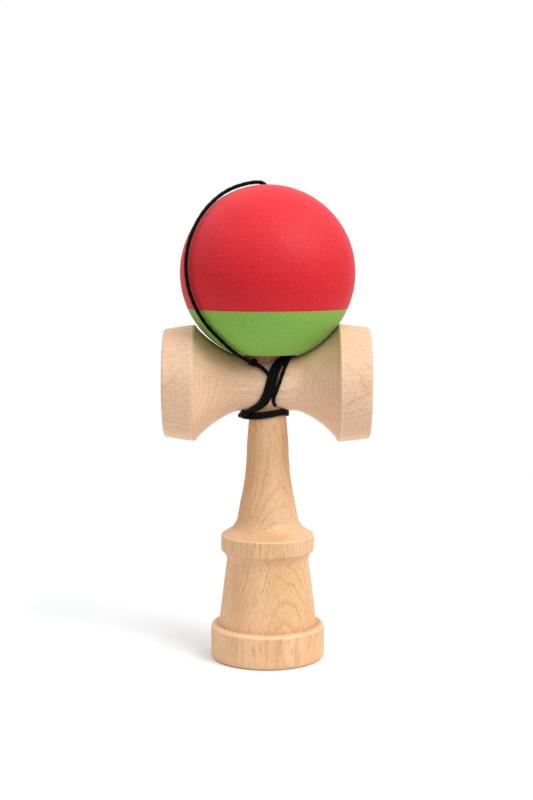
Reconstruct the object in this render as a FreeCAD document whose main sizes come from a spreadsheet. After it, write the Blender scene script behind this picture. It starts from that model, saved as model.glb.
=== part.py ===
"""Kendama, a wooden cup-and-ball toy, as a parametric FreeCAD document.

Millimetres. The origin is at the bottom centre of the handle's base, +Z runs up the handle,
+X along the crosspiece towards its big cup, and -Y is the front, where the string is knotted.
"""
import FreeCAD, Part
import math
import os

import Sketcher

Vector = FreeCAD.Vector
Rotation = FreeCAD.Rotation
Placement = FreeCAD.Placement

SIZES = {
    # ken: the handle, turned about Z
    "base_radius": 19.85,
    "base_edge": 1.5,
    "base_band_top": 10.4,
    "base_shoulder_radius": 18.2,
    "base_shoulder_height": 12.05,
    "base_shoulder_round": 1.7,
    "cone_foot_radius": 17.2,
    "cone_foot_height": 11.6,
    "cone_top_radius": 14.3,
    "cone_top_height": 34.4,
    "cove_radius": 4.0,
    "collar_radius": 16.25,
    "collar_lip": 0.6,
    "collar_edge": 0.7,
    "collar_edge_inset": 0.4,
    "collar_edge_rise": 0.6,
    "collar_bottom": 37.6,
    "collar_top": 43.6,
    "flare_foot_radius": 12.6,
    "flare_foot_height": 45.6,
    "flare_curve": 7.5,
    "flare_top_radius": 10.4,
    "flare_top_height": 50.4,
    "handle_foot_curve": 30.0,
    "handle_foot_radius": 9.65,
    "handle_foot_height": 54.4,
    "handle_curve": 90.0,
    "neck_radius": 7.2,
    "neck_height": 75.0,
    "seat_foot_radius": 6.25,
    "seat_top_radius": 6.05,
    "seat_top_height": 106.0,
    "spike_curve": 200.0,
    "spike_tip_radius": 3.2,
    "spike_tip_height": 140.6,
    "ken_height": 142.5,
    "base_cup_depth": 7.5,
    "base_cup_radius": 16.6,
    "base_lip_inner": 17.5,
    "base_lip_rise": 0.4,
    "base_lip_curve": 1.2,
    "ken_hole_radius": 1.6,
    # sarado: the crosspiece, turned about X
    "sarado_height": 96.2,
    "waist_radius": 9.45,
    "waist_half_length": 8.7,
    "waist_blend": 8.53,
    "flare_start": 12.2,
    "flare_start_radius": 10.2,
    "small_flare_curve": 37.5,
    "small_flare_end": 24.3,
    "small_flare_end_radius": 18.9,
    "small_ridge_offset": 25.6,
    "small_ridge_round": 1.5,
    "small_ridge_radius": 20.0,
    "big_flare_curve": 30.0,
    "big_flare_end": 23.7,
    "big_flare_end_radius": 19.2,
    "big_ridge_offset": 24.7,
    "big_ridge_round": 1.6,
    "big_ridge_radius": 20.35,
    "small_rim_offset": 35.6,
    "big_rim_offset": 35.1,
    "small_band_curve": 120.0,
    "small_rim_radius": 18.65,
    "big_rim_radius": 19.25,
    "rim_round": 0.9,
    "cup_wall": 1.3,
    "cup_depth": 8.5,
    "seat_clearance": 0.05,
    "seat_bevel": 0.8,
    "seat_overrun": 1.5,
    "string_hole_radius": 1.0,
    "string_hole_offset": 1.6,
    "string_hole_depth": 15.0,
    # tama: the ball, turned about Z
    "tama_radius": 30.0,
    "tama_height": 134.0,
    "paint_thickness": 0.4,
    "paint_boundary": 12.1,
    "tama_bore_radius": 10.3,
    "tama_mouth_radius": 11.6,
    "tama_mouth_bevel": 1.3,
    "tama_bore_top": 153.6,
    "tama_bore_round": 2.0,
    "tama_string_bore": 1.5,
    "tama_string_mouth": 2.6,
    "tama_string_bevel": 1.2,
    "bead_radius": 3.2,
    "bead_bore_radius": 0.8,
    # string
    "string_diameter": 1.3,
    "string_exit_height": 161.9,
    "inner_knot_radius": 1.6,
    "inner_knot_shoulder": 2.2,
    "bead_gap": 0.1,
    "knot_length": 3.0,
    "knot_width": 2.2,
    "sleeve_end": 11.0,
    "sleeve_end_radius": 10.1,
    "sleeve_curve": 93.0,
    "winding_thickness": 1.3,
    "winding_gap": 0.05,
    "winding_handle_gap": 0.35,
    "neck_turn_radius": 7.3,
    "neck_turn_height": 85.0,
    "neck_turn_tilt": 3.0,
}

# The free run of the string: up out of the ball's hole, over its left front, down to the knot.
STRING_ROUTE = [
    (0.0, 0.0, 161.9),
    (-0.5, -0.1, 164.7),
    (-6.0, -1.7, 164.7),
    (-14.2, -4.2, 161.9),
    (-21.2, -9.0, 155.5),
    (-25.9, -13.0, 146.6),
    (-27.5, -15.3, 136.9),
    (-26.0, -16.6, 127.2),
    (-21.6, -16.9, 118.2),
    (-14.7, -15.4, 110.9),
    (-10.2, -12.2, 106.7),
    (-6.6, -8.9, 104.5),
]
KNOT_CENTRE = Vector(-5.0, -8.1, 103.8)
TAIL_START = Vector(1.6, -9.4, 91.7)
TAIL_END = Vector(2.5, -7.2, 88.4)

# The winding's outline from the front: left and right edges, from the top of the waist down.
WINDING_LEFT = [(7.2, 12.5), (3.6, 8.2), (-0.7, 0.0), (-4.0, -6.6), (-10.4, -12.5)]
WINDING_RIGHT = [(10.4, 12.5), (10.2, 9.0), (4.6, 0.0), (-1.2, -7.5), (-6.4, -12.5)]

WOODEN_BALL = "tama_radius - paint_thickness"
ARC_SHARE = 0.45
SLEEVE_REACH = 14.0
SUM_SIGNS = {"+": 1.0, "-": -1.0}
HORIZONTAL_AXIS = -1
VERTICAL_AXIS = -2
START = 1
END = 2
CENTRE = 3
CAP = "cap"

doc = FreeCAD.newDocument("Kendama")
cells = doc.addObject("Spreadsheet::Sheet", "Sizes")
for row, (alias, number) in enumerate(SIZES.items(), start=1):
    cells.set(f"A{row}", alias)
    cells.set(f"B{row}", str(number))
    cells.setAlias(f"B{row}", alias)
doc.recompute()


def value(formula):
    """The length that a sum of cells such as 'base_radius - base_edge' comes to."""
    total = 0.0
    sign = 1.0
    for word in formula.split():
        if word in SUM_SIGNS:
            sign = SUM_SIGNS[word]
        else:
            total += sign * (SIZES[word] if word in SIZES else float(word))
    return total


def expression(formula, factor=1):
    """The same sum as an expression on the sheet's cells, times a whole factor."""
    words = [f"Sizes.{word}" if word in SIZES else word for word in formula.split()]
    return f"{factor} * ({' '.join(words)})"


def new_body(name):
    """A PartDesign body whose label is its node's name."""
    body = doc.addObject("PartDesign::Body", name)
    body.Label = name
    return body


def new_sketch(body, name, role="XZ_Plane"):
    """A sketch on one of the body's own origin planes."""
    sketch = body.newObject("Sketcher::SketchObject", name)
    plane = next(item for item in body.Origin.OriginFeatures if item.Role == role)
    sketch.AttachmentSupport = [(plane, "")]
    sketch.MapMode = "FlatFace"
    return sketch


def bind_coordinate(sketch, geometry, end, kind, formula):
    """Hold one coordinate of a point at a sum of cells."""
    number = value(formula)
    if abs(number) < 1e-9:
        axis = VERTICAL_AXIS if kind == "DistanceX" else HORIZONTAL_AXIS
        sketch.addConstraint(Sketcher.Constraint("PointOnObject", geometry, end, axis))
        return
    if number > 0:
        place = (HORIZONTAL_AXIS, START, geometry, end, number)
        factor = 1
    else:
        place = (geometry, end, HORIZONTAL_AXIS, START, -number)
        factor = -1
    index = sketch.addConstraint(Sketcher.Constraint(kind, *place))
    sketch.setExpression(f"Constraints[{index}]", expression(formula, factor))


def arc_between(first, last, radius, side):
    """The shorter arc between two points; side +1 puts its centre left of the chord."""
    chord = last - first
    half = chord.Length / 2
    across = Vector(-chord.y, chord.x, 0).normalize() * side
    centre = first + chord / 2 + across * math.sqrt(radius * radius - half * half)
    start, end = (first, last) if side > 0 else (last, first)
    angles = [math.atan2(point.y - centre.y, point.x - centre.x) for point in (start, end)]
    if angles[1] < angles[0]:
        angles[1] += 2 * math.pi
    return Part.ArcOfCircle(Part.Circle(centre, Vector(0, 0, 1), radius), *angles)


def cap_radius(first, last, axis):
    """The radius of the arc between two points whose centre is on the turning axis."""
    along, across = ("y", "x") if axis == "V_Axis" else ("x", "y")
    span = getattr(last, along) - getattr(first, along)
    squares = getattr(last, across) ** 2 - getattr(first, across) ** 2
    centre = (span * span + squares) / (2 * span)
    return math.hypot(centre, getattr(first, across))


def outline(sketch, steps, axis="V_Axis"):
    """A closed outline of steps. (x, y) is a line to that point, and (x, y, radius, side) an arc.

    An arc whose radius is CAP has its centre on the turning axis, as on a ball or a scooped cup.
    """
    points = [Vector(value(step[0]), value(step[1]), 0) for step in steps]
    ends = []
    for index, step in enumerate(steps):
        first, last = points[index - 1], points[index]
        if len(step) == 2:
            geometry = sketch.addGeometry(Part.LineSegment(first, last), False)
            ends.append((geometry, START, END))
            continue
        radius = cap_radius(first, last, axis) if step[2] == CAP else value(step[2])
        geometry = sketch.addGeometry(arc_between(first, last, radius, step[3]), False)
        ends.append((geometry, START, END) if step[3] > 0 else (geometry, END, START))
    for index, (geometry, start, end) in enumerate(ends):
        before, _, before_end = ends[index - 1]
        sketch.addConstraint(Sketcher.Constraint("Coincident", before, before_end, geometry, start))
        bind_coordinate(sketch, geometry, end, "DistanceX", steps[index][0])
        bind_coordinate(sketch, geometry, end, "DistanceY", steps[index][1])
        if len(steps[index]) == 2:
            continue
        if steps[index][2] == CAP:
            line = VERTICAL_AXIS if axis == "V_Axis" else HORIZONTAL_AXIS
            sketch.addConstraint(Sketcher.Constraint("PointOnObject", geometry, CENTRE, line))
            continue
        radius = value(steps[index][2])
        number = sketch.addConstraint(Sketcher.Constraint("Radius", geometry, radius))
        sketch.setExpression(f"Constraints[{number}]", expression(steps[index][2]))


def circle(sketch, centre, radius):
    """A circle about a point given as two sums of cells."""
    middle = Vector(value(centre[0]), value(centre[1]), 0)
    shape = Part.Circle(middle, Vector(0, 0, 1), value(radius))
    geometry = sketch.addGeometry(shape, False)
    bind_coordinate(sketch, geometry, CENTRE, "DistanceX", centre[0])
    bind_coordinate(sketch, geometry, CENTRE, "DistanceY", centre[1])
    number = sketch.addConstraint(Sketcher.Constraint("Radius", geometry, value(radius)))
    sketch.setExpression(f"Constraints[{number}]", expression(radius))


def turned(body, name, steps, axis="V_Axis", cut=False):
    """Turn an outline about one of its sketch's axes, as wood to add or to cut."""
    sketch = new_sketch(body, name + "_outline")
    outline(sketch, steps, axis)
    feature = body.newObject("PartDesign::Groove" if cut else "PartDesign::Revolution", name)
    feature.Profile = sketch
    feature.ReferenceAxis = (sketch, [axis])
    feature.Angle = 360
    return feature


def cut_through(body, name, sketch):
    """Cut a sketch's outline right through the body, both ways."""
    pocket = body.newObject("PartDesign::Pocket", name)
    pocket.Profile = sketch
    pocket.Type = "ThroughAll"
    pocket.SideType = "Symmetric"


def hole_along_y(body, name, centre, radius, length=None):
    """A round hole along Y from the middle to the front; with no length it goes right through."""
    sketch = new_sketch(body, name + "_circle")
    circle(sketch, centre, radius)
    if length is None:
        cut_through(body, name, sketch)
        return
    pocket = body.newObject("PartDesign::Pocket", name)
    pocket.Profile = sketch
    pocket.Type = "Length"
    pocket.Length = value(length)
    pocket.setExpression("Length", expression(length))
    pocket.Reversed = True


def ken():
    """The handle: base with a cup under it, cone, collar, slim handle, seat and spike."""
    body = new_body("ken")
    turned(body, "ken_turning", [
        ("0", "base_cup_depth"),
        ("base_cup_radius", "base_lip_rise", CAP, -1),
        ("base_lip_inner", "0", "base_lip_curve", -1),
        ("base_radius - base_edge", "0"),
        ("base_radius", "base_edge", "base_edge", 1),
        ("base_radius", "base_band_top"),
        ("base_shoulder_radius", "base_shoulder_height", "base_shoulder_round", 1),
        ("cone_foot_radius", "cone_foot_height"),
        ("cone_top_radius", "cone_top_height"),
        ("collar_radius - collar_edge_inset", "collar_bottom", "cove_radius", -1),
        ("collar_radius", "collar_bottom + collar_edge_rise", "collar_edge", 1),
        ("collar_radius", "collar_top - collar_lip"),
        ("collar_radius - collar_lip", "collar_top", "collar_lip", 1),
        ("flare_foot_radius", "flare_foot_height"),
        ("flare_top_radius", "flare_top_height", "flare_curve", -1),
        ("handle_foot_radius", "handle_foot_height", "handle_foot_curve", -1),
        ("neck_radius", "neck_height", "handle_curve", -1),
        ("seat_foot_radius", "sarado_height - waist_radius"),
        ("seat_top_radius", "seat_top_height"),
        ("spike_tip_radius", "spike_tip_height", "spike_curve", 1),
        ("0", "ken_height", CAP, 1),
    ])
    hole_along_y(body, "ken_string_hole", ("0", "sarado_height"), "ken_hole_radius")
    return body


def sarado():
    """The crosspiece: a waist between two cups, bored for the handle."""
    body = new_body("sarado")
    turned(body, "sarado_turning", [
        ("big_rim_offset - cup_depth", "0"),
        ("big_rim_offset", "big_rim_radius - cup_wall", CAP, -1),
        ("big_rim_offset", "big_rim_radius - rim_round"),
        ("big_rim_offset - rim_round", "big_rim_radius", "rim_round", 1),
        ("big_ridge_offset", "big_ridge_radius"),
        ("big_flare_end", "big_flare_end_radius", "big_ridge_round", 1),
        ("flare_start", "flare_start_radius", "big_flare_curve", -1),
        ("waist_half_length", "waist_radius", "waist_blend", -1),
        ("0 - waist_half_length", "waist_radius"),
        ("0 - flare_start", "flare_start_radius", "waist_blend", -1),
        ("0 - small_flare_end", "small_flare_end_radius", "small_flare_curve", -1),
        ("0 - small_ridge_offset", "small_ridge_radius", "small_ridge_round", 1),
        ("rim_round - small_rim_offset", "small_rim_radius", "small_band_curve", 1),
        ("0 - small_rim_offset", "small_rim_radius - rim_round", "rim_round", 1),
        ("0 - small_rim_offset", "small_rim_radius - cup_wall"),
        ("cup_depth - small_rim_offset", "0", CAP, -1),
    ], axis="H_Axis")
    turned(body, "sarado_seat", [
        ("0", "0 - waist_radius - seat_overrun"),
        ("seat_foot_radius + seat_clearance + seat_bevel", "0 - waist_radius - seat_overrun"),
        ("seat_foot_radius + seat_clearance + seat_bevel", "0 - waist_radius"),
        ("seat_foot_radius + seat_clearance", "seat_bevel - waist_radius"),
        ("seat_top_radius + seat_clearance", "waist_radius"),
        ("seat_top_radius + seat_clearance", "waist_radius + seat_overrun"),
        ("0", "waist_radius + seat_overrun"),
    ], cut=True)
    hole_along_y(body, "sarado_string_hole", ("string_hole_offset", "0"), "string_hole_radius",
                 "string_hole_depth")
    body.Placement = Placement(Vector(0, 0, SIZES["sarado_height"]), Rotation())
    body.setExpression("Placement.Base.z", "Sizes.sarado_height")
    return body


def at_tama(body):
    """Move a body drawn about the ball's centre to its place."""
    body.Placement = Placement(Vector(0, 0, SIZES["tama_height"]), Rotation())
    body.setExpression("Placement.Base.z", "Sizes.tama_height")
    return body


def on_ball(radius_formula, height):
    """The distance from the axis of a point of that height on a ball about the centre."""
    radius = value(radius_formula)
    return str(math.sqrt(radius * radius - height * height))


def height_on_ball(radius_formula, distance):
    """The height above or below the centre of a point that far from the axis."""
    radius = value(radius_formula)
    return str(math.sqrt(radius * radius - distance * distance))


def tama_core():
    """The wooden ball with its spike bore and its string bore."""
    body = new_body("tama_core")
    mouth = SIZES["tama_mouth_radius"]
    top = SIZES["tama_string_mouth"]
    mouth_depth = "0 - " + height_on_ball(WOODEN_BALL, mouth)
    top_height = height_on_ball(WOODEN_BALL, top)
    turned(body, "tama_turning", [
        ("tama_bore_radius", f"{mouth_depth} + tama_mouth_bevel"),
        ("tama_mouth_radius", mouth_depth),
        ("tama_string_mouth", top_height, CAP, 1),
        ("tama_string_bore", f"{top_height} - tama_string_bevel"),
        ("tama_string_bore", "tama_bore_top - tama_height"),
        ("tama_bore_radius - tama_bore_round", "tama_bore_top - tama_height"),
        ("tama_bore_radius", "tama_bore_top - tama_height - tama_bore_round"),
    ])
    return at_tama(body)


def coats():
    """The red coat above the boundary and the green coat below it."""
    edge = -SIZES["paint_boundary"]
    edge_radii = (on_ball(WOODEN_BALL, edge), on_ball("tama_radius", edge))
    edge_heights = (str(edge), str(edge))
    top = SIZES["tama_string_mouth"]
    top_heights = (height_on_ball(WOODEN_BALL, top), height_on_ball("tama_radius", top))
    mouth = SIZES["tama_mouth_radius"]
    mouth_heights = (
        "0 - " + height_on_ball(WOODEN_BALL, mouth),
        "0 - " + height_on_ball("tama_radius", mouth),
    )
    spans = {
        "tama_red_coat": (edge_heights, top_heights, edge_radii, (str(top), str(top))),
        "tama_green_coat": (mouth_heights, edge_heights, (str(mouth), str(mouth)), edge_radii),
    }
    return [coat(name, *span) for name, span in spans.items()]


def coat(name, low, high, low_radii, high_radii):
    """A thin coat of paint on the ball, between two heights."""
    body = new_body(name)
    turned(body, name + "_turning", [
        (low_radii[0], low[0], CAP, -1),
        (low_radii[1], low[1]),
        (high_radii[1], high[1], CAP, 1),
        (high_radii[0], high[0]),
    ])
    return at_tama(body)


def string_bead():
    """The bead at the top of the bore that keeps the string from pulling through."""
    body = new_body("string_bead")
    bore = SIZES["bead_bore_radius"]
    end = height_on_ball("bead_radius", bore)
    turned(body, "bead_turning", [
        ("bead_bore_radius", "0 - " + end),
        ("bead_bore_radius", end, CAP, 1),
    ])
    body.Placement = Placement(Vector(0, 0, value("tama_bore_top - bead_radius")), Rotation())
    body.setExpression("Placement.Base.z", "Sizes.tama_bore_top - Sizes.bead_radius")
    return body


def string_inner_knot():
    """The knot under the bead and the straight string from it to the ball's top hole."""
    body = new_body("string_inner_knot")
    knot = SIZES["inner_knot_radius"]
    string = SIZES["string_diameter"] / 2
    knot_top = value("tama_bore_top - bead_radius - bead_radius")
    turned(body, "inner_knot_turning", [
        ("0", str(knot_top - 2 * knot)),
        (str(knot), str(knot_top - knot), str(knot), 1),
        (str(string), str(knot_top - SIZES["bead_gap"]), "inner_knot_shoulder", 1),
        (str(string), "string_exit_height"),
        ("0", "string_exit_height"),
    ])
    return body


def rounded_path(points):
    """Straight runs joined by tangent arcs, each as large as its two runs allow."""
    edges = []
    radii = []
    start = points[0]
    for before, corner, after in zip(points, points[1:], points[2:]):
        inward = (before - corner).normalize()
        outward = (after - corner).normalize()
        half_turn = (math.pi - inward.getAngle(outward)) / 2
        cut = ARC_SHARE * min((before - corner).Length, (after - corner).Length)
        radius = cut / math.tan(half_turn)
        bisector = (inward + outward).normalize()
        middle = corner + bisector * (radius / math.cos(half_turn) - radius)
        first = corner + inward * cut
        last = corner + outward * cut
        edges.append(Part.LineSegment(start, first).toShape())
        edges.append(Part.Arc(first, middle, last).toShape())
        radii.append(radius)
        start = last
    edges.append(Part.LineSegment(start, points[-1]).toShape())
    return Part.Wire(edges), radii


def string():
    """The string's free run as a round tube."""
    points = [Vector(*point) for point in STRING_ROUTE]
    path, radii = rounded_path(points)
    print("string arc radii:", ", ".join(f"{radius:.1f}" for radius in radii))
    radius = SIZES["string_diameter"] / 2
    section = Part.Wire(Part.Circle(points[0], points[1] - points[0], radius).toShape())
    tube = path.makePipeShell([section], True, True)
    expected = math.pi * radius * radius * path.Length
    print(f"string length {path.Length:.1f}, volume {tube.Volume:.2f}, expected {expected:.2f}")
    piece = doc.addObject("Part::Feature", "string")
    piece.Label = "string"
    piece.Shape = tube
    return piece


def string_front_knot():
    """The knot on the front of the crosspiece, where the free run ends."""
    piece = doc.addObject("Part::Ellipsoid", "string_front_knot")
    piece.Label = "string_front_knot"
    piece.setExpression("Radius1", "Sizes.knot_width / 2")
    piece.setExpression("Radius2", "Sizes.knot_length / 2")
    piece.setExpression("Radius3", "Sizes.knot_width / 2")
    piece.Placement = Placement(KNOT_CENTRE, Rotation(Vector(0, 0, 1), 20))
    return piece


def string_winding():
    """The turns round the waist: a sleeve cut to a slanting band and cleared round the handle."""
    body = new_body("string_winding")
    turned(body, "winding_sleeve", [
        ("sleeve_end", "sleeve_end_radius + winding_thickness"),
        ("0 - sleeve_end", "sleeve_end_radius + winding_thickness", "sleeve_curve", -1),
        ("0 - sleeve_end", "sleeve_end_radius + winding_gap"),
        ("sleeve_end", "sleeve_end_radius + winding_gap", "sleeve_curve", 1),
    ], axis="H_Axis")
    sides = {"left": (WINDING_LEFT, -SLEEVE_REACH), "right": (WINDING_RIGHT, SLEEVE_REACH)}
    for side, (edge, far) in sides.items():
        sketch = new_sketch(body, f"winding_{side}_outline")
        corners = edge + [(far, edge[-1][1]), (far, edge[0][1])]
        outline(sketch, [(str(x), str(z)) for x, z in corners])
        cut_through(body, f"winding_{side}_cut", sketch)
    sketch = new_sketch(body, "winding_handle_circle", "XY_Plane")
    circle(sketch, ("0", "0"), "seat_foot_radius + winding_handle_gap")
    cut_through(body, "winding_handle_cut", sketch)
    body.Placement = Placement(Vector(0, 0, SIZES["sarado_height"]), Rotation())
    body.setExpression("Placement.Base.z", "Sizes.sarado_height")
    return body


def string_neck_turn():
    """The turn round the handle's neck, a little lower on the small cup's side."""
    piece = doc.addObject("Part::Torus", "string_neck_turn")
    piece.Label = "string_neck_turn"
    piece.setExpression("Radius1", "Sizes.neck_turn_radius")
    piece.setExpression("Radius2", "Sizes.string_diameter / 2")
    tilt = Rotation(Vector(0, 1, 0), -SIZES["neck_turn_tilt"])
    piece.Placement = Placement(Vector(0, 0, SIZES["neck_turn_height"]), tilt)
    return piece


def string_tail():
    """The short loose end that hangs from under the turns."""
    piece = doc.addObject("Part::Cylinder", "string_tail")
    piece.Label = "string_tail"
    piece.setExpression("Radius", "Sizes.string_diameter / 2")
    piece.Height = (TAIL_END - TAIL_START).Length
    turn = Rotation(Vector(0, 0, 1), TAIL_END - TAIL_START)
    piece.Placement = Placement(TAIL_START, turn)
    return piece


def check(objects):
    """Stop if any object of the document failed or any sub-part has no valid solid."""
    for item in doc.Objects:
        if "Invalid" in item.State or "Error" in item.State:
            raise RuntimeError(f"{item.Name} failed: {item.State}")
    for item in objects:
        if item.Shape.isNull() or not item.Shape.isValid() or not item.Shape.Solids:
            raise RuntimeError(f"{item.Label} has no valid solid")
        box = item.Shape.BoundBox
        print(f"{item.Label}: {len(item.Shape.Solids)} solid, {item.Shape.Volume:.1f} mm3,"
              f" z {box.ZMin:.2f} to {box.ZMax:.2f}")


subparts = [
    ken(),
    sarado(),
    tama_core(),
    *coats(),
    string_bead(),
    string_inner_knot(),
    string(),
    string_front_knot(),
    string_winding(),
    string_neck_turn(),
    string_tail(),
]
doc.recompute()
check(subparts)
os.makedirs("parts", exist_ok=True)
for subpart in subparts:
    subpart.Shape.exportStep(f"parts/{subpart.Label}.step")
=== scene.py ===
"""The looks of a kendama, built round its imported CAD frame. Metres, in the CAD's own frame."""
import math

import bpy
from mathutils import Matrix, Vector


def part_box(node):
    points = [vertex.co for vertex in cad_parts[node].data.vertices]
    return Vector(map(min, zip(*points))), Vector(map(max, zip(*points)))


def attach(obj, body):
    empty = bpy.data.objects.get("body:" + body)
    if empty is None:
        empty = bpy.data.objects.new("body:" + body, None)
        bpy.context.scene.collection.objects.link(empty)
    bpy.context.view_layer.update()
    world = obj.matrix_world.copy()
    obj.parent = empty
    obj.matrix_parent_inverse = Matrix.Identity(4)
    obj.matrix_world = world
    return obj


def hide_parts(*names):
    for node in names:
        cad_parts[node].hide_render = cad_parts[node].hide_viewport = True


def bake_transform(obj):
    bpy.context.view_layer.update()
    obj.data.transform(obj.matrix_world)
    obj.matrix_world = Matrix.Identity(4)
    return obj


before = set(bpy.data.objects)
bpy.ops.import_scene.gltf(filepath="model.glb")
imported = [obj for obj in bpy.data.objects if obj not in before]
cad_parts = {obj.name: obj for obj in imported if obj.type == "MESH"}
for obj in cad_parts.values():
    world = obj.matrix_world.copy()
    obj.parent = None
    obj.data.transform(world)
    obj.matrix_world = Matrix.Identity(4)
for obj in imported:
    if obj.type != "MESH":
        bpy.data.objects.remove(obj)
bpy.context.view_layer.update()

MM = 0.001

# ---------------------------------------------------------------- places, from the frame
SARADO_LOW, SARADO_HIGH = (Vector(corner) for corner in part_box("sarado"))
SARADO_Z = (SARADO_LOW.z + SARADO_HIGH.z) / 2

# ---------------------------------------------------------------- camera and light
CAMERA_DISTANCE = 0.4894
CAMERA_HEIGHT = 0.1429
CAMERA_ASIDE = -0.0004
CAMERA_PITCH = 6.14
CAMERA_LENS = 64.1
CAMERA_SENSOR = 36.0
# Where the bright ceiling and the white backdrop begin and end, and the strength of each part.
CEILING = (-0.05, 0.60)
CEILING_STRENGTH = 1.14
BACKDROP = (0.78, 0.87)
BACKDROP_STRENGTH = 1.0
WALL_STRENGTH = 0.16
WHITE = (1.0, 1.0, 1.0, 1.0)
KEY_FROM = (0.62, -0.50, 0.75)
KEY_STRENGTH = 1.85
KEY_SPREAD = 32.0
KEY_COLOUR = (0.98, 1.0, 1.03)
FLOOR_WHITE = (0.838, 0.850, 0.862, 1.0)
FLOOR_ROUGHNESS = 0.9
FLOOR_SPECULAR = 0.1
FLOOR_RADIUS = 0.30
FLOOR_BEHIND = 0.12
FLOOR_SIDES = 128


def make_camera():
    """The camera, about level with the ball and looking slightly down."""
    data = bpy.data.cameras.new("camera")
    data.lens = CAMERA_LENS
    data.sensor_width = CAMERA_SENSOR
    camera = bpy.data.objects.new("camera", data)
    camera.location = (CAMERA_ASIDE, -CAMERA_DISTANCE, CAMERA_HEIGHT)
    camera.rotation_euler = (math.radians(90.0 - CAMERA_PITCH), 0.0, 0.0)
    bpy.context.collection.objects.link(camera)
    bpy.context.scene.camera = camera


def make_key():
    """A soft far light from the upper right and front."""
    data = bpy.data.lights.new("key", "SUN")
    data.energy = KEY_STRENGTH
    data.angle = math.radians(KEY_SPREAD)
    data.color = KEY_COLOUR
    light = bpy.data.objects.new("key", data)
    light.rotation_euler = Vector(KEY_FROM).to_track_quat("Z", "Y").to_euler()
    bpy.context.collection.objects.link(light)


def strength_step(tree, place, limits, bright):
    """A node whose result climbs smoothly to bright between two limits of a coordinate."""
    step = tree.nodes.new("ShaderNodeMapRange")
    step.interpolation_type = "SMOOTHSTEP"
    tree.links.new(place, step.inputs["Value"])
    step.inputs["From Min"].default_value = limits[0]
    step.inputs["From Max"].default_value = limits[1]
    step.inputs["To Max"].default_value = bright
    return step


def make_world():
    """A studio all round: a white backdrop behind, a broad bright ceiling, and dimmer walls."""
    world = bpy.data.worlds.new("studio")
    bpy.context.scene.world = world
    world.use_nodes = True
    tree = world.node_tree
    apart = tree.nodes.new("ShaderNodeSeparateXYZ")
    tree.links.new(tree.nodes.new("ShaderNodeTexCoord").outputs["Generated"], apart.inputs[0])
    ceiling = strength_step(tree, apart.outputs["Z"], CEILING, CEILING_STRENGTH)
    ceiling.inputs["To Min"].default_value = WALL_STRENGTH
    backdrop = strength_step(tree, apart.outputs["Y"], BACKDROP, BACKDROP_STRENGTH)
    tree.links.new(ceiling.outputs["Result"], backdrop.inputs["To Min"])
    background = tree.nodes["Background"]
    background.inputs["Color"].default_value = WHITE
    tree.links.new(backdrop.outputs["Result"], background.inputs["Strength"])


def make_floor():
    """A round white table top to stand on, about as bright as the backdrop behind it."""
    rim = []
    for side in range(FLOOR_SIDES):
        turn = 2 * math.pi * side / FLOOR_SIDES
        rim.append((FLOOR_RADIUS * math.cos(turn), FLOOR_BEHIND + FLOOR_RADIUS * math.sin(turn), 0.0))
    mesh = bpy.data.meshes.new("floor")
    mesh.from_pydata(rim, [], [tuple(range(FLOOR_SIDES))])
    floor = bpy.data.objects.new("floor", mesh)
    bpy.context.collection.objects.link(floor)
    paper = Graph("floor_paper")
    floor.data.materials.append(paper.shade({"Base Color": FLOOR_WHITE, "Roughness": FLOOR_ROUGHNESS,
                                             "Specular IOR Level": FLOOR_SPECULAR}))


def make_studio():
    """The room, its floor and the key light."""
    bpy.context.scene.view_settings.view_transform = "Standard"
    make_world()
    make_floor()
    make_key()


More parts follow.
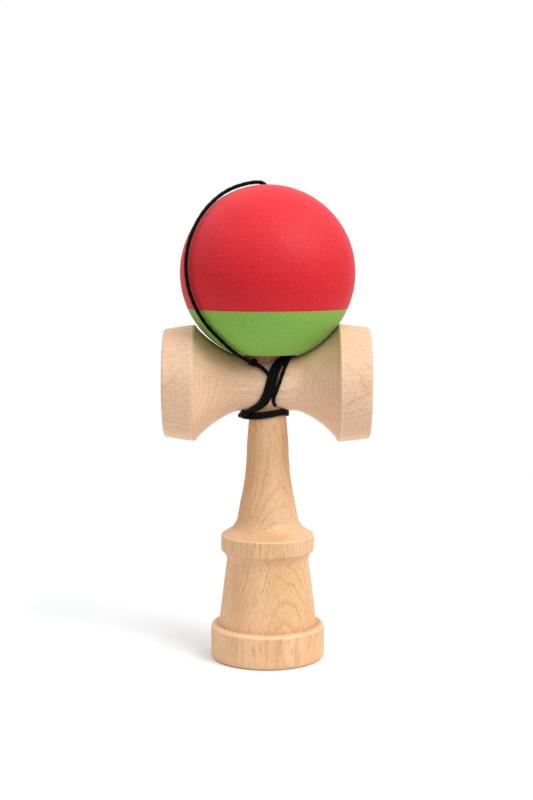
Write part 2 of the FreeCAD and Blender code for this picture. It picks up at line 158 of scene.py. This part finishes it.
# ---------------------------------------------------------------- node helpers
class Graph:
    """A material's node tree with short calls for the nodes used here."""

    def __init__(self, name):
        self.material = bpy.data.materials.new(name)
        self.material.use_nodes = True
        self.tree = self.material.node_tree
        self.shader = self.tree.nodes["Principled BSDF"]

    def add(self, kind, **settings):
        """A node with its settings."""
        node = self.tree.nodes.new(kind)
        for key, setting in settings.items():
            setattr(node, key, setting)
        return node

    def feed(self, socket, source):
        """Link a socket or set it to a value."""
        if isinstance(source, bpy.types.NodeSocket):
            self.tree.links.new(source, socket)
        else:
            socket.default_value = source

    def shade(self, looks):
        """Feed the shader's inputs by name, and give the material."""
        for name, source in looks.items():
            self.feed(self.shader.inputs[name], source)
        return self.material

    def math(self, operation, first, second=0.0):
        """One step of arithmetic."""
        node = self.add("ShaderNodeMath", operation=operation)
        self.feed(node.inputs[0], first)
        self.feed(node.inputs[1], second)
        return node.outputs[0]

    def plus(self, first, second):
        """A sum."""
        return self.math("ADD", first, second)

    def times(self, first, second):
        """A product."""
        return self.math("MULTIPLY", first, second)

    def coords(self, turn=(0.0, 0.0, 0.0), shift=(0.0, 0.0, 0.0)):
        """The object's own coordinates in millimetres, turned and shifted."""
        source = self.add("ShaderNodeTexCoord").outputs["Object"]
        mapping = self.add("ShaderNodeMapping")
        self.feed(mapping.inputs["Vector"], source)
        self.feed(mapping.inputs["Location"], shift)
        self.feed(mapping.inputs["Rotation"], turn)
        self.feed(mapping.inputs["Scale"], (1.0 / MM, 1.0 / MM, 1.0 / MM))
        return mapping.outputs["Vector"]

    def vector(self, operation, first, second):
        """One step of arithmetic on vectors."""
        node = self.add("ShaderNodeVectorMath", operation=operation)
        self.feed(node.inputs[0], first)
        self.feed(node.inputs[1], second)
        return node.outputs[0]

    def split(self, vector):
        """A vector's X, Y and Z."""
        node = self.add("ShaderNodeSeparateXYZ")
        self.feed(node.inputs[0], vector)
        return node.outputs

    def noise(self, vector, scale, detail, roughness):
        """Fractal noise between 0 and 1."""
        node = self.add("ShaderNodeTexNoise")
        self.feed(node.inputs["Vector"], vector)
        self.feed(node.inputs["Scale"], scale)
        self.feed(node.inputs["Detail"], detail)
        self.feed(node.inputs["Roughness"], roughness)
        return node.outputs["Fac"]

    def grained(self, grain, scale, detail, roughness):
        """Noise that is stretched along the grain."""
        return self.noise(self.vector("MULTIPLY", grain, scale), 1.0, detail, roughness)

    def grey(self, factor, low, high):
        """A smooth step from 0 at low to 1 at high."""
        node = self.add("ShaderNodeMapRange", interpolation_type="SMOOTHSTEP")
        self.feed(node.inputs["Value"], factor)
        self.feed(node.inputs["From Min"], low)
        self.feed(node.inputs["From Max"], high)
        return node.outputs["Result"]

    def mix(self, factor, first, second):
        """Two colours mixed."""
        node = self.add("ShaderNodeMix", data_type="RGBA")
        self.feed(node.inputs["Factor"], factor)
        self.feed(node.inputs[6], first)
        self.feed(node.inputs[7], second)
        return node.outputs[2]

    def cover(self, colour, places, depth, tone):
        """A colour with a tone laid over it in places, at most as deep as depth."""
        return self.mix(self.times(places, depth), colour, tone)

    def bump(self, height, strength, distance):
        """A bump from a height; distance is in metres."""
        node = self.add("ShaderNodeBump")
        self.feed(node.inputs["Height"], height)
        self.feed(node.inputs["Strength"], strength)
        self.feed(node.inputs["Distance"], distance)
        return node.outputs["Normal"]


# ---------------------------------------------------------------- wood
# Pale wood, warmer wood, late wood in the rings, and the brown of the flecks.
KEN_TONES = ((0.775, 0.487, 0.274, 1.0), (0.695, 0.400, 0.198, 1.0), (0.560, 0.270, 0.105, 1.0),
             (0.430, 0.180, 0.065, 1.0))
# The crosspiece's tones are paler and less yellow than the handle's: a painted sheen laid into the wood.
SARADO_TONES = ((0.900, 0.610, 0.415, 1.0), (0.840, 0.535, 0.335, 1.0), (0.690, 0.370, 0.180, 1.0),
                (0.500, 0.240, 0.110, 1.0))
# Each kind of fleck: cells per millimetre across and along the grain, how much of its cell a fleck
# fills, and a shift between the kinds.
KEN_FLECKS = (((1.35, 1.35, 0.13), 0.26, 0.0), ((2.1, 2.1, 0.26), 0.25, 31.0))
SARADO_FLECKS = (((1.9, 1.9, 0.30), 0.26, 0.0), ((2.6, 2.6, 0.48), 0.27, 31.0))
# Painted highlights, pale lines where the light glints off the turned edges: where each lies along the
# grain, and half its width, in millimetres.
KEN_HIGHLIGHT_EDGES = ((11.3, 0.7), (43.3, 0.45))
SARADO_HIGHLIGHT_EDGES = ((-24.9, 0.5), (25.9, 0.5))
# The colour of the painted edge highlights.
EDGE_HIGHLIGHT = (0.95, 0.76, 0.58, 1.0)
# How the grain lies in each piece, where the tree's heart lies, and the gap between rings, in millimetres.
KEN_TURN = (0.0, 0.0, 0.0)
KEN_PITH = (17.2, -42.6, 0.0)
KEN_RING_GAP = 1.35
KEN_SEED = (0.0, 0.0, 0.0)
SARADO_TURN = (0.0, math.radians(90.0), 0.0)
SARADO_PITH = (-95.2, -50.0, 0.0)
SARADO_RING_GAP = 1.3
SARADO_SEED = (13.0, 7.0, 41.0)
# Kinds of noise: cells per millimetre across and along the grain, detail, and roughness.
WANDER = ((0.028, 0.028, 0.011), 3.0, 0.5)
WAVE = ((0.16, 0.16, 0.03), 2.0, 0.5)
FADE = ((0.12, 0.12, 0.035), 2.0, 0.5)
PATCH = ((0.09, 0.09, 0.03), 2.0, 0.6)
STREAK = ((2.2, 2.2, 0.10), 3.0, 0.65)
HAIR = ((5.0, 5.0, 0.22), 2.0, 0.6)
# How far the rings wander and wave, in millimetres.
WANDER_REACH = 10.0
WAVE_REACH = 1.3
# The limits of each smooth step.
RING_RISE = (0.60, 0.91)
RING_FALL = (1.0, 0.93)
FADE_STEP = (0.30, 0.60)
PATCH_STEP = (0.3, 0.72)
STREAK_STEP = (0.50, 0.66)
DARK_HAIR_STEP = (0.52, 0.68)
PALE_HAIR_STEP = (0.48, 0.30)
CHOSEN_STEP = (0.15, 0.60)
FLECK_CORE = 0.45
# How deep each kind of mark is laid over the wood.
RING_DEPTH = 0.52
STREAK_DEPTH = 0.42
DARK_HAIR_DEPTH = 0.34
PALE_HAIR_DEPTH = 0.30
FLECK_DEPTH = 0.72
# The painted edge highlights are laid this deep.
EDGE_HIGHLIGHT_DEPTH = 0.32
WOOD_ROUGHNESS = 0.43
STREAK_ROUGHNESS = 0.16
WOOD_SPECULAR = 0.50
HAIR_HEIGHT = 0.7
FLECK_HEIGHT = -0.6
WOOD_BUMP = (0.35, 0.05 * MM)


def late_wood(graph, grain, turn, pith, ring_gap):
    """Where the dark late wood of the growth rings lies, with the rings round a far pith."""
    across = graph.split(graph.coords(turn=turn, shift=pith))
    aside = graph.math("POWER", across["X"], 2.0)
    ahead = graph.math("POWER", across["Y"], 2.0)
    reach = graph.math("SQRT", graph.plus(aside, ahead))
    reach = graph.plus(reach, graph.times(graph.grained(grain, *WANDER), WANDER_REACH))
    reach = graph.plus(reach, graph.times(graph.grained(grain, *WAVE), WAVE_REACH))
    ring = graph.math("FRACT", graph.math("DIVIDE", reach, ring_gap))
    late = graph.times(graph.grey(ring, *RING_RISE), graph.grey(ring, *RING_FALL))
    return graph.times(late, graph.grey(graph.grained(grain, *FADE), *FADE_STEP))


def fleck_kind(graph, grain, scale, cut, offset):
    """Where one kind of fleck lies: a short dash in some of the cells."""
    cell = graph.add("ShaderNodeTexVoronoi", feature="F1")
    moved = graph.vector("ADD", graph.vector("MULTIPLY", grain, scale), (offset, offset, offset))
    graph.feed(cell.inputs["Vector"], moved)
    graph.feed(cell.inputs["Scale"], 1.0)
    pick = graph.add("ShaderNodeSeparateColor")
    graph.feed(pick.inputs[0], cell.outputs["Color"])
    chosen = graph.grey(pick.outputs[0], *CHOSEN_STEP)
    spot = graph.grey(cell.outputs["Distance"], cut, cut * FLECK_CORE)
    return graph.times(spot, chosen)


def paint_edge_highlights(graph, colour, turn, highlight_edges):
    """The wood's colour, with painted highlights as paler lines along its turned edges."""
    along = graph.split(graph.coords(turn=turn))["Z"]
    for place, width in highlight_edges:
        away = graph.math("ABSOLUTE", graph.math("SUBTRACT", along, place))
        colour = graph.cover(colour, graph.grey(away, width, 0.0), EDGE_HIGHLIGHT_DEPTH, EDGE_HIGHLIGHT)
    return colour


def beech(name, tones, flecks, highlight_edges, turn, pith, ring_gap, seed):
    """Turned beech: growth rings round a far pith, fine fibres along the grain and brown ray flecks.

    turn carries the grain onto the texture's Z, and pith is how far aside the tree's heart lies.
    """
    graph = Graph(name)
    pale, warm, dark, brown = tones
    grain = graph.coords(turn=turn, shift=seed)
    late = late_wood(graph, grain, turn, pith, ring_gap)
    streak = graph.grained(grain, *STREAK)
    hair = graph.grained(grain, *HAIR)
    fleck = graph.math("MAXIMUM", *(fleck_kind(graph, grain, *kind) for kind in flecks))
    colour = graph.mix(graph.grey(graph.grained(grain, *PATCH), *PATCH_STEP), pale, warm)
    colour = graph.cover(colour, late, RING_DEPTH, dark)
    colour = graph.cover(colour, graph.grey(streak, *STREAK_STEP), STREAK_DEPTH, dark)
    colour = graph.cover(colour, graph.grey(hair, *DARK_HAIR_STEP), DARK_HAIR_DEPTH, dark)
    colour = graph.cover(colour, graph.grey(hair, *PALE_HAIR_STEP), PALE_HAIR_DEPTH, pale)
    colour = graph.cover(colour, fleck, FLECK_DEPTH, brown)
    height = graph.plus(graph.times(hair, HAIR_HEIGHT), graph.times(fleck, FLECK_HEIGHT))
    # Painted highlights along the turned edges go onto the colour last.
    return graph.shade({
        "Base Color": paint_edge_highlights(graph, colour, turn, highlight_edges),
        "Roughness": graph.plus(WOOD_ROUGHNESS, graph.times(streak, STREAK_ROUGHNESS)),
        "Specular IOR Level": WOOD_SPECULAR,
        "Normal": graph.bump(height, *WOOD_BUMP)})


# ---------------------------------------------------------------- paint
# Deep, main and light colour.
RED = ((0.61, 0.003, 0.011, 1.0), (0.87, 0.010, 0.023, 1.0), (0.90, 0.05, 0.06, 1.0))
RED_SEED = (3.0, 5.0, 7.0)
GREEN = ((0.215, 0.475, 0.055, 1.0), (0.270, 0.575, 0.072, 1.0), (0.38, 0.62, 0.14, 1.0))
GREEN_SEED = (11.0, 2.0, 5.0)
# Kinds of noise: cells per millimetre, detail, and roughness.
SPECKLE = (1.5, 3.0, 0.75)
GRIT = (3.6, 1.0, 0.5)
CLOUD = (0.06, 3.0, 0.5)
SPECKLE_STEP = (0.30, 0.70)
GRIT_STEP = (0.55, 0.8)
CLOUD_STEP = (0.45, 0.8)
GRIT_DEPTH = 0.45
CLOUD_DEPTH = 0.15
PAINT_ROUGHNESS = 0.52
SPECKLE_ROUGHNESS = 0.2
PAINT_SPECULAR = 0.42
PAINT_SHEEN = 0.10
PAINT_SHEEN_ROUGHNESS = 0.45
PAINT_SHEEN_TINT = (1.0, 0.85, 0.85, 1.0)
GRIT_HEIGHT = 0.5
PAINT_BUMP = (0.5, 0.06 * MM)


def paint(name, colours, seed):
    """Matte, slightly rubbery paint with a fine speckle over the sprayed surface."""
    graph = Graph(name)
    deep, main, light = colours
    place = graph.coords(shift=seed)
    speckle = graph.noise(place, *SPECKLE)
    grit = graph.noise(place, *GRIT)
    cloud = graph.noise(place, *CLOUD)
    colour = graph.mix(graph.grey(speckle, *SPECKLE_STEP), deep, main)
    colour = graph.cover(colour, graph.grey(grit, *GRIT_STEP), GRIT_DEPTH, light)
    colour = graph.cover(colour, graph.grey(cloud, *CLOUD_STEP), CLOUD_DEPTH, light)
    height = graph.plus(speckle, graph.times(grit, GRIT_HEIGHT))
    return graph.shade({
        "Base Color": colour,
        "Roughness": graph.plus(PAINT_ROUGHNESS, graph.times(speckle, SPECKLE_ROUGHNESS)),
        "Specular IOR Level": PAINT_SPECULAR,
        "Sheen Weight": PAINT_SHEEN,
        "Sheen Roughness": PAINT_SHEEN_ROUGHNESS,
        "Sheen Tint": PAINT_SHEEN_TINT,
        "Normal": graph.bump(height, *PAINT_BUMP)})


# ---------------------------------------------------------------- nylon and plastic
BRAID_BLACK = (0.0012, 0.0012, 0.0015, 1.0)
BRAID_FIBRE = (0.006, 0.006, 0.007, 1.0)
BRAID_WORN = (0.03, 0.03, 0.033, 1.0)
FIBRE = (5.0, 3.0, 0.7)
WORN = (0.8, 2.0, 0.5)
FIBRE_STEP = (0.35, 0.8)
WORN_STEP = (0.6, 0.85)
WORN_DEPTH = 0.2
BRAID_ROUGHNESS = 0.55
FIBRE_ROUGHNESS = 0.25
BRAID_SPECULAR = 0.09
BRAID_SHEEN = 0.02
BRAID_BUMP = (0.6, 0.04 * MM)
BEAD_DARK = (0.62, 0.60, 0.54, 1.0)
BEAD_LIGHT = (0.72, 0.70, 0.64, 1.0)
MOTTLE = (0.5, 2.0, 0.5)
BEAD_ROUGHNESS = 0.38
MOTTLE_ROUGHNESS = 0.1
BEAD_BUMP = (0.1, 0.05 * MM)


def braid(name):
    """Black braided nylon: near-black with a soft sheen and lighter worn fibres."""
    graph = Graph(name)
    place = graph.coords()
    fibre = graph.noise(place, *FIBRE)
    worn = graph.noise(place, *WORN)
    colour = graph.mix(graph.grey(fibre, *FIBRE_STEP), BRAID_BLACK, BRAID_FIBRE)
    return graph.shade({
        "Base Color": graph.cover(colour, graph.grey(worn, *WORN_STEP), WORN_DEPTH, BRAID_WORN),
        "Roughness": graph.plus(BRAID_ROUGHNESS, graph.times(fibre, FIBRE_ROUGHNESS)),
        "Specular IOR Level": BRAID_SPECULAR,
        "Sheen Weight": BRAID_SHEEN,
        "Normal": graph.bump(fibre, *BRAID_BUMP)})


def moulded(name):
    """The plain bead: off-white moulded plastic."""
    graph = Graph(name)
    mottle = graph.noise(graph.coords(), *MOTTLE)
    return graph.shade({
        "Base Color": graph.mix(mottle, BEAD_DARK, BEAD_LIGHT),
        "Roughness": graph.plus(BEAD_ROUGHNESS, graph.times(mottle, MOTTLE_ROUGHNESS)),
        "Normal": graph.bump(mottle, *BEAD_BUMP)})


def dress(node, material):
    """Give a CAD node a material of its own."""
    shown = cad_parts[node]
    shown.data.materials.clear()
    shown.data.materials.append(material)


# ---------------------------------------------------------------- string
STRING_R = 0.67 * MM
# Control points in millimetres: from the ball's hole over the ball to the knot, and on below it.
STRING_ROUTE = [
    (0.0, 0.0, 161.9),
    (-0.5, -0.1, 164.7),
    (-6.0, -1.7, 164.7),
    (-14.2, -4.2, 161.9),
    (-21.2, -9.0, 155.5),
    (-25.9, -13.0, 146.6),
    (-27.5, -15.3, 136.9),
    (-26.0, -16.6, 127.2),
    (-21.6, -16.9, 118.2),
    (-14.7, -15.4, 110.9),
    (-10.2, -12.2, 106.7),
    (-6.6, -8.9, 104.5),
]
KNOT_CENTRE = (-5.0, -8.3, 103.9)
UNDER_BUNDLE = [(-3.4, -8.1, 103.2), (-1.0, -9.0, 101.5), (0.9, -9.8, 99.2)]

# The crosspiece's waist: its radius in the middle, and how slowly it widens, in millimetres.
WAIST_R = 9.45
WAIST_BEND = 186.0
# How far the string's centreline lies off the wood, and from one layer to the next, in millimetres.
STRING_OFF = 0.70
LAYER_STEP = 1.1
# Where the string lies on the waist, as (angle, along the crosspiece, layers up). The angle runs round
# the crosspiece: 0 at the front, 90 on top, -90 underneath and -180 at the back.
FIRST_DOWN = [(0, 1.4, 0), (-25, 0.2, 0), (-48, -2.6, 0), (-66, -5.6, 0)]
UP_THE_BACK = [(-108, -9.4, 1.0), (-126, -7.4, 0.6), (-144, -4.6, 0.2), (-162, -2.6, 0), (-180, -1.4, 0),
               (-198, -0.4, 0), (-216, 0.8, 0), (-234, 3.4, 0), (-252, 6.2, 0)]
LAST_PASS = [(90, 9.4, 1.15), (75, 8.6, 0.95), (60, 7.6, 0.3), (42, 6.15, 0), (24, 5.1, 0), (6, 4.0, 0),
             (-10, 3.0, 0.1), (-24, 2.0, 0.4), (-34, 1.8, 0.5), (-43, 2.6, 0.2)]
# The two turns round the neck: their distance from the axis, and the height of each one every
# eighth of a turn from the front by the right, in millimetres.
NECK_R = 7.35
NECK_HEIGHTS = ((86.5, 87.3, 86.1, 85.7, 85.6, 85.5, 85.4, 85.7),
                (85.4, 86.3, 85.2, 84.9, 84.7, 84.5, 84.4, 84.6))
ONTO_NECK = [(-7.3, -2.4, 86.1)]
OFF_NECK = [(-8.2, -3.4, 84.7), (-9.2, 0.2, 84.7)]
# The full turns round the waist: the angles of their control points, the gap between two turns and how
# much it narrows, where the underside begins, and the gap and the rise of each turn there.
TURNS = 3
TURN_STATIONS = [90, 75, 62, 45, 28, 10, -8, -25, -42, -56, -68, -80, -92, -108, -126, -144, -162,
                 -180, -198, -216, -234, -250]
TURN_GAP = 1.22
TURN_PINCH = 0.12
UNDERSIDE = -60
UNDER_GAP = 0.9
UNDER_RISE = 0.35
# How far along the crosspiece the first turn lies, as (angle, millimetres).
LEAN = [(-90, -9.0), (-68, -7.6), (-56, -5.6), (-42, -3.2), (-25, -1.6), (0, -0.2), (28, 1.0),
        (45, 2.3), (62, 4.9), (75, 6.9), (90, 8.0)]
SPLINE_STEPS = 12
SPLINE_ORDER = 3
STRING_STEP = 0.22 * MM
# The braid's skin: its strands, the length of one twist, its sides, and the depth of its ridges.
BRAID_STRANDS = 4
BRAID_PITCH = 3.2 * MM
BRAID_SIDES = 16
BRAID_MIDDLE = 0.93
BRAID_RIDGE = 0.07
# The knot: points along it, its size, its stretch along each axis, its strand, and how it lies.
KNOT_POINTS = 160
KNOT_SIZE = 0.34 * MM
KNOT_WIDE = 1.25
KNOT_DEEP = 1.3
KNOT_TALL = 0.85
KNOT_STRAND = 0.9
KNOT_LEAN = -22
KNOT_TURN = 28


def fold(angle):
    """An angle at the back of the crosspiece as the one at the front at the same height."""
    return angle if angle >= -90 else -180 - angle


def lean(angle):
    """How far along the crosspiece the first turn lies at that angle, front or back."""
    folded = fold(angle)
    for (low, x_low), (high, x_high) in zip(LEAN, LEAN[1:]):
        if low <= folded <= high:
            share = (folded - low) / (high - low)
            return x_low + share * (x_high - x_low)
    return LEAN[-1][1]


def on_waist(angle, x, layer):
    """A point of the string's centreline on the waist, in millimetres."""
    reach = WAIST_R + x * x / WAIST_BEND + STRING_OFF + LAYER_STEP * layer
    turn = math.radians(angle)
    return (x, -reach * math.cos(turn), SARADO_Z / MM + reach * math.sin(turn))


def wound_turns():
    """The turns' control points: side by side, and in reverse order where they cross underneath."""
    points = []
    for turn in range(TURNS):
        for angle in TURN_STATIONS:
            gap = TURN_GAP - TURN_PINCH * (abs(fold(angle)) / 90.0)
            x = lean(angle) + turn * gap
            layer = 0.0
            if fold(angle) < UNDERSIDE:
                x = lean(angle) - (turn - 1) * gap * UNDER_GAP
                layer = UNDER_RISE * turn
            points.append(on_waist(angle, x, layer))
    return points


def neck_turns():
    """The control points round the handle's neck, from the left by the back and the right, twice."""
    points = []
    for heights in NECK_HEIGHTS:
        for eighth in range(6, -2, -1):
            turn = math.radians(45.0 * eighth)
            points.append((NECK_R * math.sin(turn), -NECK_R * math.cos(turn), heights[eighth]))
    return points


def string_points():
    """Every control point of the string, from the ball's top hole to its loose end, in metres."""
    points = STRING_ROUTE + UNDER_BUNDLE
    points += [on_waist(*station) for station in FIRST_DOWN]
    points += ONTO_NECK + neck_turns() + OFF_NECK
    points += [on_waist(*station) for station in UP_THE_BACK]
    points += wound_turns()
    points += [on_waist(*station) for station in LAST_PASS]
    return [Vector(point) * MM for point in points]


def smooth_path(name, points):
    """The points that a NURBS spline through the route gives, as bpy reads them."""
    curve = bpy.data.curves.new(name, "CURVE")
    curve.dimensions = "3D"
    curve.resolution_u = SPLINE_STEPS
    spline = curve.splines.new("NURBS")
    spline.points.add(len(points) - 1)
    for slot, point in zip(spline.points, points):
        slot.co = (*point, 1.0)
    spline.order_u = SPLINE_ORDER
    spline.use_endpoint_u = True
    holder = bpy.data.objects.new(name, curve)
    bpy.context.collection.objects.link(holder)
    bpy.context.view_layer.update()
    evaluated = holder.evaluated_get(bpy.context.evaluated_depsgraph_get())
    mesh = bpy.data.meshes.new_from_object(evaluated)
    path = [vertex.co.copy() for vertex in mesh.vertices]
    bpy.data.objects.remove(holder)
    bpy.data.curves.remove(curve)
    bpy.data.meshes.remove(mesh)
    return path


def evenly(path, step):
    """The same line with points an even step apart, and its length."""
    lengths = [0.0]
    for first, second in zip(path, path[1:]):
        lengths.append(lengths[-1] + (second - first).length)
    count = max(2, round(lengths[-1] / step))
    points = []
    index = 0
    for number in range(count + 1):
        target = lengths[-1] * number / count
        while index < len(path) - 2 and lengths[index + 1] < target:
            index += 1
        span = lengths[index + 1] - lengths[index]
        share = (target - lengths[index]) / span if span > 0 else 0.0
        points.append(path[index].lerp(path[index + 1], min(share, 1.0)))
    return points, lengths[-1]


def braid_ring(point, across, beside, radius, travelled):
    """One ring of the tube's skin, where two sets of strands cross."""
    ring = []
    twist = 2 * math.pi * travelled / BRAID_PITCH
    for side in range(BRAID_SIDES):
        angle = 2 * math.pi * side / BRAID_SIDES
        place = BRAID_STRANDS / 2 * angle
        ridge = max(math.cos(place + twist), math.cos(place - twist))
        reach = radius * (BRAID_MIDDLE + BRAID_RIDGE * ridge)
        ring.append(point + (across * math.cos(angle) + beside * math.sin(angle)) * reach)
    return ring


def tube_faces(count, closed):
    """The faces between a tube's rings, and its two ends where it is open."""
    faces = []
    for index in range(count if closed else count - 1):
        first = index * BRAID_SIDES
        second = (index + 1) % count * BRAID_SIDES
        for side in range(BRAID_SIDES):
            turn = (side + 1) % BRAID_SIDES
            faces.append((first + side, first + turn, second + turn, second + side))
    if not closed:
        faces.append(tuple(reversed(range(BRAID_SIDES))))
        faces.append(tuple(range((count - 1) * BRAID_SIDES, count * BRAID_SIDES)))
    return faces


def braided_tube(name, path, radius, material, closed=False):
    """A tube along a path whose skin has the low ridges of a round braid."""
    count = len(path)
    across = None
    verts = []
    travelled = 0.0
    for index, point in enumerate(path):
        after = path[(index + 1) % count] if closed else path[min(index + 1, count - 1)]
        before = path[index - 1] if closed or index else path[0]
        tangent = (after - before).normalized()
        if across is None:
            across = tangent.orthogonal().normalized()
        across = (across - tangent * across.dot(tangent)).normalized()
        travelled += (point - path[index - 1]).length if index else 0.0
        verts += braid_ring(point, across, tangent.cross(across), radius, travelled)
    mesh = bpy.data.meshes.new(name)
    mesh.from_pydata([tuple(vert) for vert in verts], [], tube_faces(count, closed))
    mesh.shade_smooth()
    mesh.materials.append(material)
    piece = bpy.data.objects.new(name, mesh)
    bpy.context.collection.objects.link(piece)
    return piece


def make_knot(material):
    """A small overhand knot where the free run ends."""
    path = []
    for index in range(KNOT_POINTS):
        turn = 2 * math.pi * index / KNOT_POINTS
        x = math.sin(turn) + 2 * math.sin(2 * turn)
        y = math.cos(turn) - 2 * math.cos(2 * turn)
        z = -KNOT_DEEP * math.sin(3 * turn)
        path.append(Vector((x * KNOT_WIDE, z, y * KNOT_TALL)) * KNOT_SIZE)
    knot = braided_tube("front_knot", path, STRING_R * KNOT_STRAND, material, closed=True)
    place = Matrix.Translation(Vector(KNOT_CENTRE) * MM)
    lie = place @ Matrix.Rotation(math.radians(KNOT_LEAN), 4, "Y")
    knot.data.transform(lie @ Matrix.Rotation(math.radians(KNOT_TURN), 4, "Z"))
    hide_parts("string_front_knot")
    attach(knot, "sarado")
    return knot


def make_string(material):
    """The whole string, from the ball's hole over the ball, round neck and waist, to its loose end."""
    points = string_points()
    path, length = evenly(smooth_path("string_line", points), STRING_STEP)
    print(f"string length {length:.4f} m")
    cord = braided_tube("braided_string", path, STRING_R, material)
    knot = make_knot(material)
    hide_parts("string", "string_winding", "string_neck_turn", "string_tail")
    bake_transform(cord)


# ---------------------------------------------------------------- the whole model
make_camera()
make_studio()
ken_wood = beech("ken_beech", KEN_TONES, KEN_FLECKS, KEN_HIGHLIGHT_EDGES, KEN_TURN, KEN_PITH, KEN_RING_GAP,
                 KEN_SEED)
sarado_wood = beech("sarado_beech", SARADO_TONES, SARADO_FLECKS, SARADO_HIGHLIGHT_EDGES, SARADO_TURN, SARADO_PITH,
                    SARADO_RING_GAP, SARADO_SEED)
dress("ken", ken_wood)
dress("sarado", sarado_wood)
dress("tama_core", ken_wood)
dress("tama_red_coat", paint("red_paint", RED, RED_SEED))
dress("tama_green_coat", paint("green_paint", GREEN, GREEN_SEED))
string_black = braid("string_braid")
dress("string_inner_knot", string_black)
dress("string_bead", moulded("bead_plastic"))
make_string(string_black)
